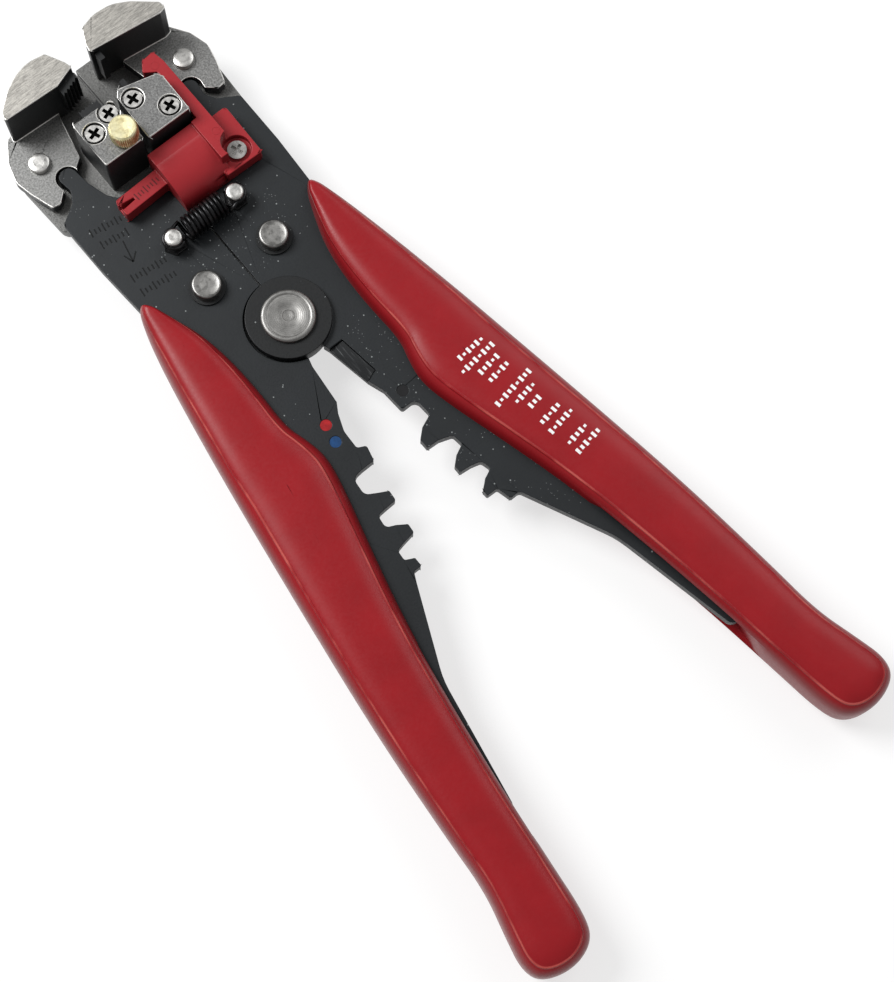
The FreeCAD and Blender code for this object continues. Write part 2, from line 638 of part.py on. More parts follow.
nut = new_body("stop_nut", "dims.lever_base - dims.stop_nut_tall - dims.run_clear")
pad(nut, "disc", circle(STOP_SCREW, dim("stop_nut_radius")), "dims.stop_nut_tall",
    radius="dims.stop_nut_radius")
pocket(nut, "bore", circle(STOP_SCREW, dim("stop_screw_radius")), "2 * dims.stop_nut_tall",
       "2 * dims.stop_nut_tall", radius="dims.stop_screw_radius")
keep(nut)

# ---------------------------------------------------------------- grips
GRIP_OUTLINE = [
    (22.2, 21.0), (24.6, 14.0), (27.4, 1.0), (31.4, -22.0), (35.6, -50.0), (39.2, -76.0),
    (41.4, -100.0), (42.2, -112.0), (44.8, -121.5), (46.2, -127.5), (44.8, -131.6),
    (38.6, -133.6), (32.8, -132.0), (30.6, -127.5), (29.2, -115.0), (27.2, -99.0),
    (23.6, -76.0), (20.6, -61.0), (17.2, -48.0), (13.4, -34.5), (12.0, -27.5),
    (12.8, -22.5), (14.4, -17.5), (14.0, -8.0), (14.4, 1.0), (15.6, 8.0), (18.0, 14.5),
    (20.2, 19.5),
]
CHANNEL_OUTLINE = [
    (10.0, -66.0), (23.4, -66.0, 1.0), (25.6, -76.0), (29.2, -99.0), (31.0, -112.0, 1.0),
    (10.0, -112.0),
]


def grip(side):
    """Moulded grip, open along its inner edge, with the room that the lever's tang fills."""
    label = HALF[side] + "_grip"
    body = new_body(label + "_blank")
    points = [(side * x, y) for x, y in GRIP_OUTLINE]
    pad(body, "blank", smooth(points), "dims.grip_thick")
    pocket(body, "channel", rounded(mirrored(CHANNEL_OUTLINE, side)), "dims.channel_tall",
           "dims.channel_top")
    doc.recompute()
    return cut(label, body, lever[side])


keep(grip(-1), grip(1))

# ---------------------------------------------------------------- checks and files
doc.recompute()
for item in doc.Objects:
    if "Invalid" in item.State or "Error" in item.State:
        raise RuntimeError("failed: %s %s" % (item.Label, item.State))
for item in nodes:
    if item.Shape.isNull() or not item.Shape.isValid():
        raise RuntimeError("bad shape: " + item.Label)
    item.Shape.exportStep("parts/%s.step" % item.Label)
    print("%-22s %9.1f mm3  %d solid(s)" % (item.Label, item.Shape.Volume,
                                            len(item.Shape.Solids)))
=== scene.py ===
import math

import bmesh
import bpy
from mathutils import Matrix, Vector


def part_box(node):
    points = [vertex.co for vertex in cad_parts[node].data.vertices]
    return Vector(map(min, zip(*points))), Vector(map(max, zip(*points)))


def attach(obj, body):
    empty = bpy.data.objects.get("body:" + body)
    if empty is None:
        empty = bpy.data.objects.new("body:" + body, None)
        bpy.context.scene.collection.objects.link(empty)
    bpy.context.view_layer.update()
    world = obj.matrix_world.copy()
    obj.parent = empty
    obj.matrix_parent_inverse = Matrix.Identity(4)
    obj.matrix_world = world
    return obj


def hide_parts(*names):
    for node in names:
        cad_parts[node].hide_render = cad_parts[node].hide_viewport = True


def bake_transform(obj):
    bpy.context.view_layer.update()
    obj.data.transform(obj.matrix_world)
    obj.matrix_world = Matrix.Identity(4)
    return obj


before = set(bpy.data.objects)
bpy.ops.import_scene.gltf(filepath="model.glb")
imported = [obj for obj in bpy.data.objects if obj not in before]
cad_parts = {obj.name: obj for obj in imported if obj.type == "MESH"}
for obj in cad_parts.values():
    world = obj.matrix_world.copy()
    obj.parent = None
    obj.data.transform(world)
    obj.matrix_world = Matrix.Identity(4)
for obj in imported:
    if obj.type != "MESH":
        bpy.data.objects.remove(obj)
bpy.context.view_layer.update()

# Looks of the wire stripper, in the frame of the CAD model: +Z out of the front face, +Y
# from the main pivot to the jaws, +X to the right. Sizes and places are in millimetres and
# go through metres() or MM on their way to Blender. A "side" is -1 left, +1 right. Noise
# scales, bump distances, lights and the floor are in metres.

MM = 0.001
HALF = {-1: "left", 1: "right"}


def metres(values):
    """Metres from millimetres."""
    return tuple(value * MM for value in values)


def low(node):
    """Lowest corner of a node's box, millimetres."""
    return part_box(node)[0] / MM


def high(node):
    """Highest corner of a node's box, millimetres."""
    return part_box(node)[1] / MM


def centre(node):
    return (low(node) + high(node)) / 2


def run(x0, y0, x1, y1):
    """Length of a line, the direction along it and the direction across it."""
    long = math.hypot(x1 - x0, y1 - y0)
    along = ((x1 - x0) / long, (y1 - y0) / long)
    return long, along, (-along[1], along[0])


DOT_TALL = 0.6
PLATE_TOP = low("red_dot").z + DOT_TALL

# ------------------------------------------------------------------ node tree helpers
NOISE_ROUGHNESS = 0.6
FACING_LEVEL = 0.45


def shaded(colour, factor):
    """The colour made lighter or darker."""
    return tuple(min(value * factor, 1.0) for value in colour)


class Tree:
    """Short calls for building one material's nodes."""

    def __init__(self, name):
        self.material = bpy.data.materials.new(name)
        self.material.use_nodes = True
        self.nodes = self.material.node_tree.nodes
        self.links = self.material.node_tree.links
        self.shader = self.nodes["Principled BSDF"]

    def node(self, kind, **settings):
        made = self.nodes.new(kind)
        for key, value in settings.items():
            setattr(made, key, value)
        return made

    def link(self, source, target):
        self.links.new(source, target)
        return target

    def place(self):
        """Object coordinates: a node's object sits at the origin, so these are metres."""
        return self.node("ShaderNodeTexCoord").outputs["Object"]

    def stretched(self, scale, turn=0.0):
        mapping = self.node("ShaderNodeMapping")
        mapping.inputs["Scale"].default_value = scale
        mapping.inputs["Rotation"].default_value = (0, 0, turn)
        self.link(self.place(), mapping.inputs["Vector"])
        return mapping.outputs["Vector"]

    def noise(self, scale, detail=3.0, vector=None):
        made = self.node("ShaderNodeTexNoise")
        made.inputs["Scale"].default_value = scale
        made.inputs["Detail"].default_value = detail
        made.inputs["Roughness"].default_value = NOISE_ROUGHNESS
        self.link(vector or self.place(), made.inputs["Vector"])
        return made.outputs["Fac"]

    def voronoi(self, scale):
        made = self.node("ShaderNodeTexVoronoi")
        made.inputs["Scale"].default_value = scale
        self.link(self.place(), made.inputs["Vector"])
        return made.outputs["Distance"]

    def ramp(self, value, stops):
        """Colour ramp; stops are (position, grey or colour)."""
        made = self.node("ShaderNodeValToRGB")
        elements = made.color_ramp.elements
        while len(elements) < len(stops):
            elements.new(0.5)
        for element, (position, colour) in zip(elements, stops):
            element.position = position
            grey = not isinstance(colour, (tuple, list))
            element.color = (colour, colour, colour, 1) if grey else (*colour, 1)
        self.link(value, made.inputs["Fac"])
        return made.outputs["Color"]

    def fade(self, value, start, end):
        """0 where the value is under start, rising to 1 at end."""
        return self.ramp(value, [(start, 0.0), (end, 1.0)])

    def mix(self, factor, first, second):
        made = self.node("ShaderNodeMix", data_type="RGBA")
        if isinstance(factor, float):
            made.inputs["Factor"].default_value = factor
        else:
            self.link(factor, made.inputs["Factor"])
        for socket, value in ((made.inputs[6], first), (made.inputs[7], second)):
            if isinstance(value, (tuple, list)):
                socket.default_value = (*value, 1)
            else:
                self.link(value, socket)
        return made.outputs[2]

    def math(self, operation, first, second=0.0):
        made = self.node("ShaderNodeMath", operation=operation)
        for socket, value in ((made.inputs[0], first), (made.inputs[1], second)):
            if isinstance(value, (int, float)):
                socket.default_value = value
            else:
                self.link(value, socket)
        return made.outputs[0]

    def times(self, first, second):
        return self.math("MULTIPLY", first, second)

    def above(self, value, level):
        return self.math("GREATER_THAN", value, level)

    def under(self, value, level):
        return self.math("LESS_THAN", value, level)

    def axis(self, vector, name):
        split = self.node("ShaderNodeSeparateXYZ")
        self.link(vector, split.inputs[0])
        return split.outputs[name]

    def height(self):
        """Height over the floor, metres."""
        return self.axis(self.place(), "Z")

    def facing_up(self):
        """1 where the true face looks out of the front of the tool, 0 on the walls."""
        geometry = self.node("ShaderNodeNewGeometry")
        return self.above(self.axis(geometry.outputs["True Normal"], "Z"), FACING_LEVEL)

    def bump(self, *layers):
        """Stacked bumps; each layer is (height, distance in metres, strength)."""
        normal = None
        for height, distance, strength in layers:
            made = self.node("ShaderNodeBump")
            made.inputs["Strength"].default_value = strength
            made.inputs["Distance"].default_value = distance
            self.link(height, made.inputs["Height"])
            if normal is not None:
                self.link(normal, made.inputs["Normal"])
            normal = made.outputs["Normal"]
        self.link(normal, self.shader.inputs["Normal"])

    def setting(self, name, value):
        """A shader input, from a number or from another node."""
        socket = self.shader.inputs[name]
        if isinstance(value, (int, float)):
            socket.default_value = value
        else:
            self.link(value, socket)

    def colour(self, value):
        self.link(value, self.shader.inputs["Base Color"])

    def rough(self, value):
        self.setting("Roughness", value)

    def metal(self, value):
        self.setting("Metallic", value)


# ------------------------------------------------------------------ materials
SINTERED_METAL = 0.85
TOP_BAND = 1.2          # the brushed faces lie within this of the jaw's top
RING_WAVES = 16000.0    # lathe rings, radians per metre
SEAM_WIDE = 0.25


def black_oxide():
    """Blackened steel plate: fine grain, a few bright specks and fine scratches."""
    tree = Tree("black_oxide_steel")
    cloud = tree.noise(60.0, 4.0)
    grain = tree.noise(2600.0, 2.0)
    base = tree.ramp(cloud, [(0.3, (0.0068, 0.0088, 0.0106)), (0.7, (0.0115, 0.0145, 0.0170))])
    raised = tree.above(tree.height(), (PLATE_TOP + 0.4) * MM)
    # Below the plate's top, the walls and the parts lying lower are painted darker: painted
    # shade.
    sunk_shade = tree.under(tree.height(), (PLATE_TOP - 0.2) * MM)
    base = tree.mix(tree.times(raised, 0.8), base, (0.004, 0.0045, 0.005))
    base = tree.mix(tree.times(sunk_shade, 0.7), base, (0.003, 0.0035, 0.004))
    speck = tree.times(tree.under(tree.voronoi(620.0), 0.10),
                       tree.above(tree.noise(70.0, 2.0), 0.52))
    fine_speck = tree.times(tree.under(tree.voronoi(1300.0), 0.12),
                            tree.above(tree.noise(45.0, 2.0), 0.58))
    speck = tree.math("MAXIMUM", speck, tree.times(fine_speck, 0.6))
    streaks = tree.noise(900.0, 2.0, tree.stretched((1.0, 0.05, 1.0), 0.6))
    scratch = tree.times(tree.above(streaks, 0.73), tree.above(tree.noise(35.0, 2.0), 0.6))
    worn = tree.math("MAXIMUM", tree.times(speck, 0.7), tree.times(scratch, 0.16))
    tree.colour(tree.mix(worn, base, (0.32, 0.34, 0.34)))
    tree.metal(0.25)
    tree.rough(tree.ramp(grain, [(0.3, 0.40), (0.7, 0.54)]))
    tree.bump((cloud, 0.0003, 0.25), (grain, 0.00004, 0.35))
    return tree.material


def sintered_steel(name, light, shade_below=None):
    """Grey blasted face with fine speckle. Given a height, the walls and whatever lies
    under that height are painted near black as shade."""
    tree = Tree(name)
    speck = tree.noise(3200.0, 2.0)
    cloud = tree.noise(140.0, 3.0)
    pits = tree.voronoi(1500.0)
    shade = tree.mix(tree.fade(speck, 0.36, 0.66), shaded(light, 0.72), shaded(light, 1.25))
    shade = tree.mix(tree.times(tree.fade(cloud, 0.35, 0.7), 0.22), shade,
                     shaded(light, 0.65))
    shade = tree.mix(tree.under(pits, 0.10), shade, shaded(light, 0.35))
    tree.metal(SINTERED_METAL)
    if shade_below:
        # Painted shade: faces not turned up, and faces lower than the height, take the
        # near-black wall colour and lose their metal.
        unshaded_face = tree.times(tree.facing_up(), tree.above(tree.height(), shade_below * MM))
        shaded_wall = tree.mix(tree.fade(speck, 0.4, 0.7), (0.007, 0.008, 0.009),
                        (0.016, 0.017, 0.018))
        shade = tree.mix(unshaded_face, shaded_wall, shade)
        tree.metal(tree.times(unshaded_face, SINTERED_METAL))
    tree.colour(shade)
    tree.rough(tree.ramp(speck, [(0.3, 0.38), (0.7, 0.55)]))
    tree.bump((speck, 0.00005, 0.4), (pits, 0.00008, 0.25))
    return tree.material


def brushed_pad():
    """Pad faces: bright brushed top with long strokes; the walls are painted near black as
    shade.
    """
    tree = Tree("brushed_pad_steel")
    stroke = tree.noise(3600.0, 3.0, tree.stretched((0.16, 1.0, 1.0), -0.12))
    speck = tree.noise(2600.0, 2.0)
    top = tree.mix(tree.fade(stroke, 0.34, 0.66), (0.27, 0.26, 0.24), (0.52, 0.50, 0.46))
    top = tree.mix(tree.times(tree.above(speck, 0.6), 0.45), top, (0.20, 0.19, 0.18))
    # Painted shade: faces not turned up get this near-black colour and no metal.
    shaded_wall = tree.mix(tree.fade(speck, 0.4, 0.7), (0.007, 0.008, 0.009), (0.015, 0.016, 0.017))
    plate = tree.mix(tree.fade(speck, 0.36, 0.66), (0.17, 0.17, 0.166), (0.32, 0.32, 0.312))
    is_top = tree.above(tree.height(), (high("right_jaw").z - TOP_BAND) * MM)
    up = tree.facing_up()
    tree.colour(tree.mix(up, shaded_wall, tree.mix(is_top, plate, top)))
    tree.metal(tree.times(up, 0.8))
    tree.rough(tree.ramp(speck, [(0.3, 0.36), (0.7, 0.52)]))
    tree.bump((stroke, 0.00004, 0.3), (speck, 0.00005, 0.3))
    return tree.material


def bright_steel(name, light, rough, pitted=0.0, turned=None, shaded_recess_heights=()):
    """Bright steel for pins and screws; pitted gives dark blotches, turned lathe rings
    round a centre, and the band two heights between which a screw's recess is painted black as
    shade."""
    tree = Tree(name)
    blotch = tree.noise(900.0, 4.0)
    fine = tree.noise(4200.0, 2.0)
    bright = (light, light * 0.985, light * 0.95)
    shade = tree.mix(tree.fade(fine, 0.35, 0.7), shaded(bright, 0.86), bright)
    if pitted:
        shade = tree.mix(tree.times(tree.under(blotch, 0.46), pitted), shade,
                         shaded(bright, 0.42))
    layers = [(blotch, 0.00006, 0.35 if pitted else 0.08), (fine, 0.00002, 0.2)]
    if turned is not None:
        flat = tree.node("ShaderNodeCombineXYZ")
        for name in ("X", "Y"):
            tree.link(tree.axis(tree.place(), name), flat.inputs[name])
        distance = tree.node("ShaderNodeVectorMath", operation="DISTANCE")
        tree.link(flat.outputs[0], distance.inputs[0])
        distance.inputs[1].default_value = (turned.x * MM, turned.y * MM, 0)
        wave = tree.math("SINE", tree.times(distance.outputs["Value"], RING_WAVES))
        rings = tree.times(wave, tree.noise(500.0, 2.0))
        layers.append((rings, 0.00002, 0.25))
        shade = tree.mix(tree.above(rings, 0.42), shade, shaded(bright, 0.8))
    # The screw's cross recess is painted near black: painted shade.
    if shaded_recess_heights:
        lowest, highest = metres(shaded_recess_heights)
        deep = tree.times(tree.above(tree.height(), lowest), tree.under(tree.height(), highest))
        shade = tree.mix(deep, shade, (0.006, 0.006, 0.006))
    tree.colour(shade)
    tree.metal(1.0)
    tree.rough(tree.ramp(blotch, [(0.3, rough), (0.7, rough + 0.16)]))
    tree.bump(*layers)
    return tree.material


def knurled_brass():
    tree = Tree("knurled_brass")
    blotch = tree.noise(420.0, 4.0)
    fine = tree.noise(3000.0, 2.0)
    tree.colour(tree.ramp(blotch, [(0.32, (0.50, 0.40, 0.17)), (0.52, (0.92, 0.85, 0.52)),
                                   (0.75, (0.97, 0.93, 0.66))]))
    tree.metal(0.9)
    tree.rough(tree.ramp(fine, [(0.3, 0.30), (0.7, 0.46)]))
    tree.bump((blotch, 0.00008, 0.3), (fine, 0.00002, 0.2))
    return tree.material


def red_vinyl(name, colour, rough, grain_depth, seam_height=None):
    """Moulded red grip or nylon: faint mottling, orange-peel grain, sides painted darker as
    shade; a moulding seam may run round at a height, a raised bump with a painted highlight
    along it."""
    tree = Tree(name)
    mottle = tree.noise(120.0, 3.0)
    grain = tree.noise(1900.0, 2.0)
    geometry = tree.node("ShaderNodeNewGeometry")
    up = tree.axis(geometry.outputs["Normal"], "Z")
    shade = tree.mix(tree.fade(mottle, 0.3, 0.7), shaded(colour, 0.93), shaded(colour, 1.06))
    # Faces turned away from straight up are painted darker: painted shade.
    shade = tree.mix(tree.fade(up, 0.35, 0.85), shaded(colour, 0.62), shade)
    layers = [(mottle, 0.0004, 0.06), (grain, grain_depth, 0.3)]
    if seam_height:
        away = tree.math("ABSOLUTE", tree.math("SUBTRACT", tree.height(), seam_height * MM))
        seam = tree.ramp(tree.times(away, 1 / SEAM_WIDE / MM), [(0.25, 1.0), (0.75, 0.0)])
        # The lighter line along the seam is a painted highlight; the bead itself is the bump.
        seam_highlight = tree.times(seam, tree.fade(tree.noise(90.0, 3.0), 0.40, 0.62))
        shade = tree.mix(tree.times(seam_highlight, 0.55), shade, (0.72, 0.16, 0.13))
        layers.append((seam, 0.00025, 0.8))
    tree.colour(shade)
    tree.rough(tree.ramp(grain, [(0.3, rough - 0.04), (0.7, rough + 0.06)]))
    tree.setting("Specular IOR Level", 0.30)
    tree.bump(*layers)
    return tree.material


def spring_steel():
    tree = Tree("spring_black_steel")
    wear = tree.noise(500.0, 3.0)
    tree.colour(tree.ramp(wear, [(0.4, (0.012, 0.012, 0.013)), (0.75, (0.05, 0.05, 0.052))]))
    tree.metal(0.8)
    tree.rough(tree.ramp(wear, [(0.3, 0.22), (0.7, 0.36)]))
    tree.bump((wear, 0.00003, 0.2))
    return tree.material


def enamel(name, colour):
    tree = Tree(name)
    drop = tree.noise(700.0, 2.0)
    tree.colour(tree.mix(tree.fade(drop, 0.4, 0.7), colour, shaded(colour, 1.5)))
    tree.rough(0.16)
    tree.setting("Coat Weight", 0.6)
    tree.bump((drop, 0.0002, 0.3))
    return tree.material


def print_white():
    tree = Tree("white_pad_print")
    wear = tree.noise(1600.0, 3.0)
    tree.colour(tree.ramp(wear, [(0.28, (0.62, 0.55, 0.55)), (0.42, (0.90, 0.89, 0.89))]))
    tree.rough(0.5)
    tree.bump((wear, 0.00002, 0.2))
    return tree.material


def scratched_face():
    """Dark ground face with fine light scratches along the edge."""
    tree = Tree("scratched_ground_steel")
    lines = tree.noise(2600.0, 2.0, tree.stretched((1.0, 0.06, 1.0), 0.25))
    cloud = tree.noise(260.0, 2.0)
    light = tree.times(tree.fade(lines, 0.52, 0.7),
                       tree.ramp(cloud, [(0.4, 0.1), (0.7, 0.8)]))
    tree.colour(tree.mix(light, (0.006, 0.007, 0.008), (0.14, 0.145, 0.15)))
    tree.metal(0.6)
    tree.rough(0.38)
    tree.bump((lines, 0.00003, 0.4))
    return tree.material


def pale_floor():
    tree = Tree("pale_floor")
    tone = tree.noise(3.0, 2.0)
    tree.colour(tree.ramp(tone, [(0.3, 0.36), (0.7, 0.38)]))
    tree.rough(0.9)
    tree.setting("Specular IOR Level", 0.0)
    tree.shader.inputs["Emission Color"].default_value = (1, 1, 1, 1)
    tree.setting("Emission Strength", 0.66)
    return tree.material


SCREW_TOP = high("left_block_screws").z
MATERIALS = {
    "black": black_oxide(),
    "arm": sintered_steel("arm_steel", (0.17, 0.17, 0.165)),
    "jaw": brushed_pad(),
    "block": sintered_steel("block_steel", (0.21, 0.21, 0.207),
                            high("right_block").z - 0.4),
    "edge": bright_steel("bright_edge_steel", 0.85, 0.34),
    "screw": bright_steel("nickel_screw", 0.80, 0.24,
                          shaded_recess_heights=(SCREW_TOP - 0.8, SCREW_TOP - 0.12)),
    "stop_screw": bright_steel("nickel_stop_screw", 0.55, 0.26, pitted=0.3),
    "pin": bright_steel("bright_pin_steel", 0.80, 0.26, pitted=0.28),
    "turned": bright_steel("turned_rivet_face", 0.30, 0.36,
                           turned=centre("pivot_rivet")),
    "rivet": bright_steel("pitted_rivet_steel", 0.30, 0.32, pitted=0.35),
    "brass": knurled_brass(),
    "grip": red_vinyl("red_grip_vinyl", (0.300, 0.0080, 0.0125), 0.34, 0.00003,
                      high("left_grip").z - 1.0),
    "stop": red_vinyl("red_stop_nylon", (0.340, 0.0200, 0.0260), 0.36, 0.00005),
    "spring": spring_steel(),
    "red_dot": enamel("red_enamel", (0.30, 0.008, 0.011)),
    "blue_dot": enamel("blue_enamel", (0.006, 0.045, 0.14)),
    "black_dot": enamel("black_enamel", (0.006, 0.006, 0.007)),
    "print": print_white(),
    "mark": enamel("sunk_mark", (0.003, 0.0035, 0.004)),
    "stop_dark": red_vinyl("red_stop_mark", (0.10, 0.005, 0.007), 0.5, 0.00003),
    "cutter": scratched_face(),
}


def paint(obj, name):
    obj.data.materials.clear()
    obj.data.materials.append(MATERIALS[name])


NODE_MATERIALS = {
    "left_lever_plate": "black", "right_lever_plate": "black",
    "left_arm": "arm", "right_arm": "arm",
    "left_jaw": "jaw", "right_jaw": "jaw",
    "left_block": "block", "right_block": "block",
    "upper_blade": "black", "lower_blade": "black",
    "upper_grip_insert": "black", "lower_grip_insert": "black",
    "left_block_screws": "screw", "right_block_screws": "screw",
    "stop_screw": "stop_screw", "stop_nut": "screw",
    "pivot_rivet": "turned", "pivot_washer": "black",
    "left_arm_rivet": "rivet", "right_arm_rivet": "rivet",
    "left_rivet_ring": "black", "right_rivet_ring": "black",
    "left_jaw_pin": "pin", "right_jaw_pin": "pin",
    "left_spring_pin": "pin", "right_spring_pin": "pin",
    "tension_knob": "brass", "wire_stop": "stop",
    "left_grip": "grip", "right_grip": "grip", "return_spring": "spring",
    "red_dot": "red_dot", "blue_dot": "blue_dot", "black_dot": "black_dot",
}
BEVELS = {
    "left_lever_plate": 0.14, "right_lever_plate": 0.14, "left_arm": 0.14, "right_arm": 0.14,
    "left_jaw": 0.17, "right_jaw": 0.17, "left_block": 0.22, "right_block": 0.22,
    "wire_stop": 0.2,
}
BRIGHT_EDGED = ("left_block", "right_block", "left_jaw", "right_jaw")
BEVEL_SEGMENTS = 3
SHARP_ANGLE = math.radians(35)
MERGE = 1e-6


def soften(obj, width_mm):
    """Rounds the sharp edges and keeps flat faces flat."""
    weld = obj.modifiers.new("closed_seams", "WELD")
    weld.merge_threshold = MERGE
    bevel = obj.modifiers.new("rounded_edges", "BEVEL")
    bevel.width = width_mm * MM
    bevel.segments = BEVEL_SEGMENTS
    bevel.limit_method = "ANGLE"
    bevel.angle_limit = SHARP_ANGLE
    bevel.use_clamp_overlap = False
    bevel.harden_normals = True


for name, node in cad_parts.items():
    paint(node, NODE_MATERIALS[name])
    if name in BEVELS:
        soften(node, BEVELS[name])
for name in BRIGHT_EDGED:
    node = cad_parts[name]
    node.data.materials.append(MATERIALS["edge"])
    node.modifiers["rounded_edges"].material = 1


# ------------------------------------------------------------------ mesh helpers
def piece(name, vertices, faces, material, body, slot, replaced=(), smooth=True):
    """A mesh piece from millimetre points; it rides on a body, when one is given."""
    mesh = bpy.data.meshes.new(name)
    mesh.from_pydata([metres(vertex) for vertex in vertices], [], faces)
    work = bmesh.new()
    work.from_mesh(mesh)
    bmesh.ops.remove_doubles(work, verts=work.verts, dist=MERGE)
    bmesh.ops.dissolve_degenerate(work, edges=work.edges, dist=MERGE)
    bmesh.ops.recalc_face_normals(work, faces=work.faces)
    work.to_mesh(mesh)
    work.free()
    for polygon in mesh.polygons:
        polygon.use_smooth = smooth
    obj = bpy.data.objects.new(name, mesh)
    bpy.context.scene.collection.objects.link(obj)
    mesh.materials.append(MATERIALS[material])
    if body:
        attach(obj, body)
    if replaced:
        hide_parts(*replaced)
    return obj


def ring_faces(rings, count):
    """Quads between neighbouring rings of count points each."""
    faces = []
    for start in range(0, (rings - 1) * count, count):
        for index in range(count):
            after = (index + 1) % count
            faces.append((start + index, start + after,
                          start + count + after, start + count + index))
    return faces


def lathe(name, middle, profile, material, body, slot, replaced=(), count=72, teeth=0.0):
    """Turned part round a middle point, with crisp edges. The profile is (radius, height);
    where a point has a third value, every other column is set in by the teeth's depth."""
    vertices = []
    for radius, height, *knurled in profile:
        for index in range(count):
            inset = teeth if knurled and index % 2 else 0.0
            angle = 2 * math.pi * index / count
            vertices.append((middle.x + (radius - inset) * math.cos(angle),
                             middle.y + (radius - inset) * math.sin(angle), height))
    faces = ring_faces(len(profile), count)
    turned = piece(name, vertices, faces, material, body, slot, replaced)
    turned.data.set_sharp_from_angle(angle=SHARP_ANGLE)


def tube(points, radius, sides=8):
    """Vertices and faces of a round wire along the points, with closed ends."""
    vertices = []
    normal = None
    for index, point in enumerate(points):
        here = Vector(point)
        before = Vector(points[max(index - 1, 0)])
        after = Vector(points[min(index + 1, len(points) - 1)])
        along = (after - before).normalized()
        if normal is None:
            normal = along.orthogonal().normalized()
        normal = (normal - along * normal.dot(along)).normalized()
        other = along.cross(normal)
        for corner in range(sides):
            angle = 2 * math.pi * corner / sides
            vertices.append(tuple(here + (normal * math.cos(angle)
                                          + other * math.sin(angle)) * radius))
    faces = ring_faces(len(points), sides)
    faces.append(tuple(range(sides))[::-1])
    last = (len(points) - 1) * sides
    faces.append(tuple(range(last, last + sides)))
    return vertices, faces


def hexagon(middle, radius, bottom, top, chamfer):
    """Upright hexagonal prism with a chamfered top edge."""
    sides = 6
    rings = [(radius, bottom), (radius, top - chamfer), (radius - chamfer, top)]
    vertices = []
    for reach, height in rings:
        for corner in range(sides):
            angle = 2 * math.pi * corner / sides
            vertices.append((middle.x + reach * math.cos(angle),
                             middle.y + reach * math.sin(angle), height))
    faces = ring_faces(len(rings), sides)
    faces.append(tuple(range(sides)))
    last = (len(rings) - 1) * sides
    faces.append(tuple(range(last, last + sides)))
    return vertices, faces


def joined(parts):
    """Several (vertices, faces) pairs as one."""
    vertices = []
    faces = []
    for some_vertices, some_faces in parts:
        start = len(vertices)
        vertices.extend(some_vertices)
        faces.extend(tuple(index + start for index in face) for face in some_faces)
    return vertices, faces


# ------------------------------------------------------------------ grips
GRIP_OUTLINE = [
    (22.2, 21.0), (24.6, 14.0), (27.4, 1.0), (31.4, -22.0), (35.6, -50.0), (39.2, -76.0),
    (41.4, -100.0), (42.2, -112.0), (44.8, -121.5), (46.2, -127.5), (44.8, -131.6),
    (38.6, -133.6), (32.8, -132.0), (30.6, -127.5), (29.2, -115.0), (27.2, -99.0),
    (23.6, -76.0), (20.6, -61.0), (17.2, -48.0), (13.4, -34.5), (12.0, -27.5),
    (12.8, -22.5), (14.4, -17.5), (14.0, -8.0), (14.4, 1.0), (15.6, 8.0), (18.0, 14.5),
    (20.2, 19.5),
]
GRIP_MIDDLE = high("left_grip").z / 2
GRIP_SQUARE = 3.4
CROWN_STEPS = 22
SIDE_HEIGHTS = (1.4, 2.7)
SPINE = [(20.6, 17.5), (20.3, 8.0), (20.9, 0.0), (21.6, -9.0), (22.6, -18.0), (22.3, -28.0),
         (24.6, -40.0), (27.4, -53.0), (30.2, -68.0), (32.6, -84.0), (34.3, -99.0),
         (35.4, -112.0), (37.2, -121.0), (38.2, -125.5)]
CHANNEL_Y = (-111.0, -67.0)
CHANNEL_Z = (4.3, 11.1)
CHANNEL_DEEP = 2.0
CHANNEL_RUN_OUT = 8.0
CHANNEL_STEP = 0.05


def eased_outline(points, rounds=3):
    """Corner cutting: a smooth closed line inside the corners."""
    for _ in range(rounds):
        cut = []
        for index, (x, y) in enumerate(points):
            next_x, next_y = points[(index + 1) % len(points)]
            for share in (0.25, 0.75):
                cut.append(((1 - share) * x + share * next_x, (1 - share) * y + share * next_y))
        points = cut
    return points


def spine_point(y):
    """Middle line of the right grip at a height y."""
    y = min(max(y, SPINE[-1][1]), SPINE[0][1])
    for (x0, y0), (x1, y1) in zip(SPINE, SPINE[1:]):
        if y1 <= y <= y0:
            share = (y0 - y) / (y0 - y1)
            return (x0 + (x1 - x0) * share, y)
    return SPINE[-1]


def crown(inward):
    """Height above the middle plane at a share of the way from the edge to the spine."""
    left = max(1.0 - inward, 0.0)
    return GRIP_MIDDLE * (1.0 - left ** GRIP_SQUARE) ** (1.0 / GRIP_SQUARE)


def grip_rings():
    """(share inward, height) of each ring from the lower spine to the upper spine, with
    two rings close together at the channel's upper edge."""
    upper = []
    for step in range(1, CROWN_STEPS + 1):
        angle = math.pi / 2 * step / CROWN_STEPS
        inward = 1.0 - math.cos(angle) ** (2 / GRIP_SQUARE)
        upper.append((inward, crown(inward)))
    channel_edge = CHANNEL_Z[1] - GRIP_MIDDLE
    for height in (*SIDE_HEIGHTS, channel_edge - CHANNEL_STEP, channel_edge + CHANNEL_STEP):
        left = (1.0 - (height / GRIP_MIDDLE) ** GRIP_SQUARE) ** (1 / GRIP_SQUARE)
        upper.append((1.0 - left, height))
    upper.sort(key=lambda ring: ring[1])
    rings = [(0.0, 0.0)] + upper
    below = [(inward, -height) for inward, height in upper]
    return [(inward, GRIP_MIDDLE + height) for inward, height in below[::-1] + rings]


